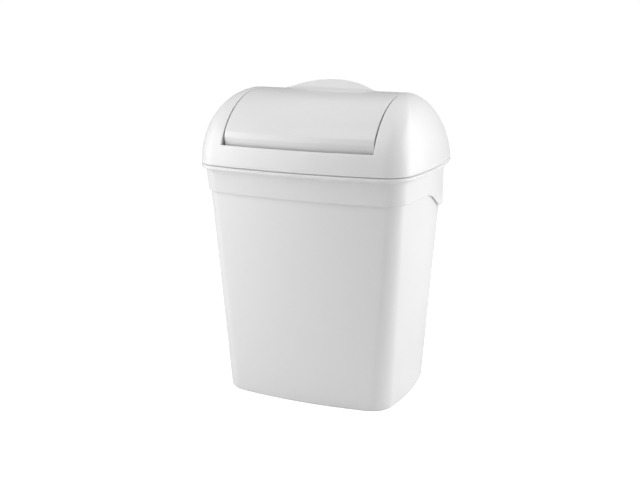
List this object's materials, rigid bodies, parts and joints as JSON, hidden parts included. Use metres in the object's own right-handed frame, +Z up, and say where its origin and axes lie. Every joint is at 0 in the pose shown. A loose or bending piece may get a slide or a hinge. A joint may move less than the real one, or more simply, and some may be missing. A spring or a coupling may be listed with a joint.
{
  "type": "swing lid waste bin",
  "caption": "Small tapered waste bin with a rounded-rectangle plan, a collar and rear skirt, a domed lift-off hood and a self-closing swing flap with a finger tab.",
  "frame": {"origin": "middle of the bin's plan, on the floor under it", "axes": "+Z up, -Y the front, +X to the right of someone who faces the front, along the width"},
  "size_m": [0.24, 0.1782, 0.3287],
  "materials": {
    "bucket_plastic": "injection-moulded white, satin gloss",
    "hood_plastic": "injection-moulded white, satin gloss",
    "flap_plastic": "injection-moulded white, smoother and glossier than the bucket",
    "pin_plastic": "plain moulded nylon"
  },
  "bodies": {
    "bucket": {"bucket": "bucket_plastic"},
    "hood": {"hood": "hood_plastic"},
    "flap": {"flap": "flap_plastic", "pivot_pin_left": "pin_plastic", "pivot_pin_right": "pin_plastic"}
  },
  "joints": [
    {"name": "hood_lift", "type": "slide", "parent": "bucket", "child": "hood", "axis": [0, 0, 1], "range_m": [0, 0.12]},
    {"name": "flap_swing", "type": "hinge", "parent": "hood", "child": "flap", "pos_m": [0, -0.00513, 0.3056], "axis": [1, 0, 0], "range_deg": [-65, 65]}
  ]
}
